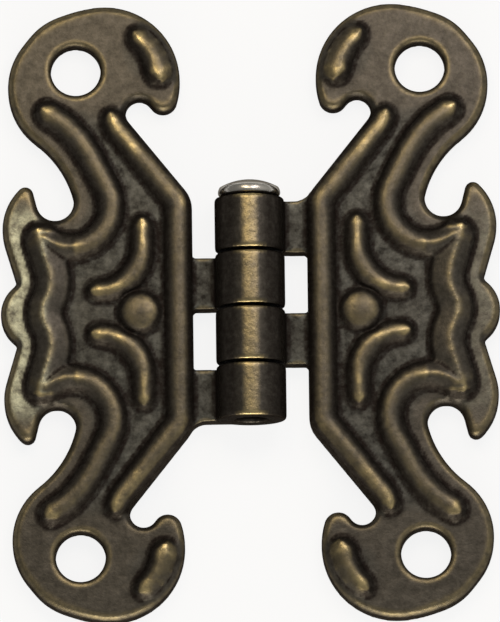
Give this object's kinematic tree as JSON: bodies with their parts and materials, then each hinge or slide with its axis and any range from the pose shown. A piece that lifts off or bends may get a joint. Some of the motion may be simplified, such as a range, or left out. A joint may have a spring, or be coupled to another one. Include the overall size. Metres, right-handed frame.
{
  "type": "butterfly hinge",
  "caption": "Decorative cast butterfly hinge: scroll-shaped leaves with raised ridges and screw holes, folding on a domed-head pin through an interleaved barrel.",
  "frame": {"origin": "middle of the open hinge, in the plane of the leaves' backs, straight below the middle of the barrel", "axes": "+X towards the leaf that carries the top knuckle, +Y along the pin towards its head, +Z out of the relief"},
  "size_m": [0.04, 0.05, 0.0056],
  "materials": {
    "leaf_casting": "antique, dark in the hollows and worn bright on the crests",
    "pin_steel": "nickel plated, polished head"
  },
  "bodies": {
    "fixed_side": {"right_leaf": "leaf_casting", "hinge_pin": "pin_steel"},
    "swinging_side": {"left_leaf": "leaf_casting"}
  },
  "joints": [
    {"name": "fold", "type": "hinge", "parent": "fixed_side", "child": "swinging_side", "pos_m": [0, 0, 0.0028], "axis": [0, 1, 0], "range_deg": [-110, 175]}
  ]
}
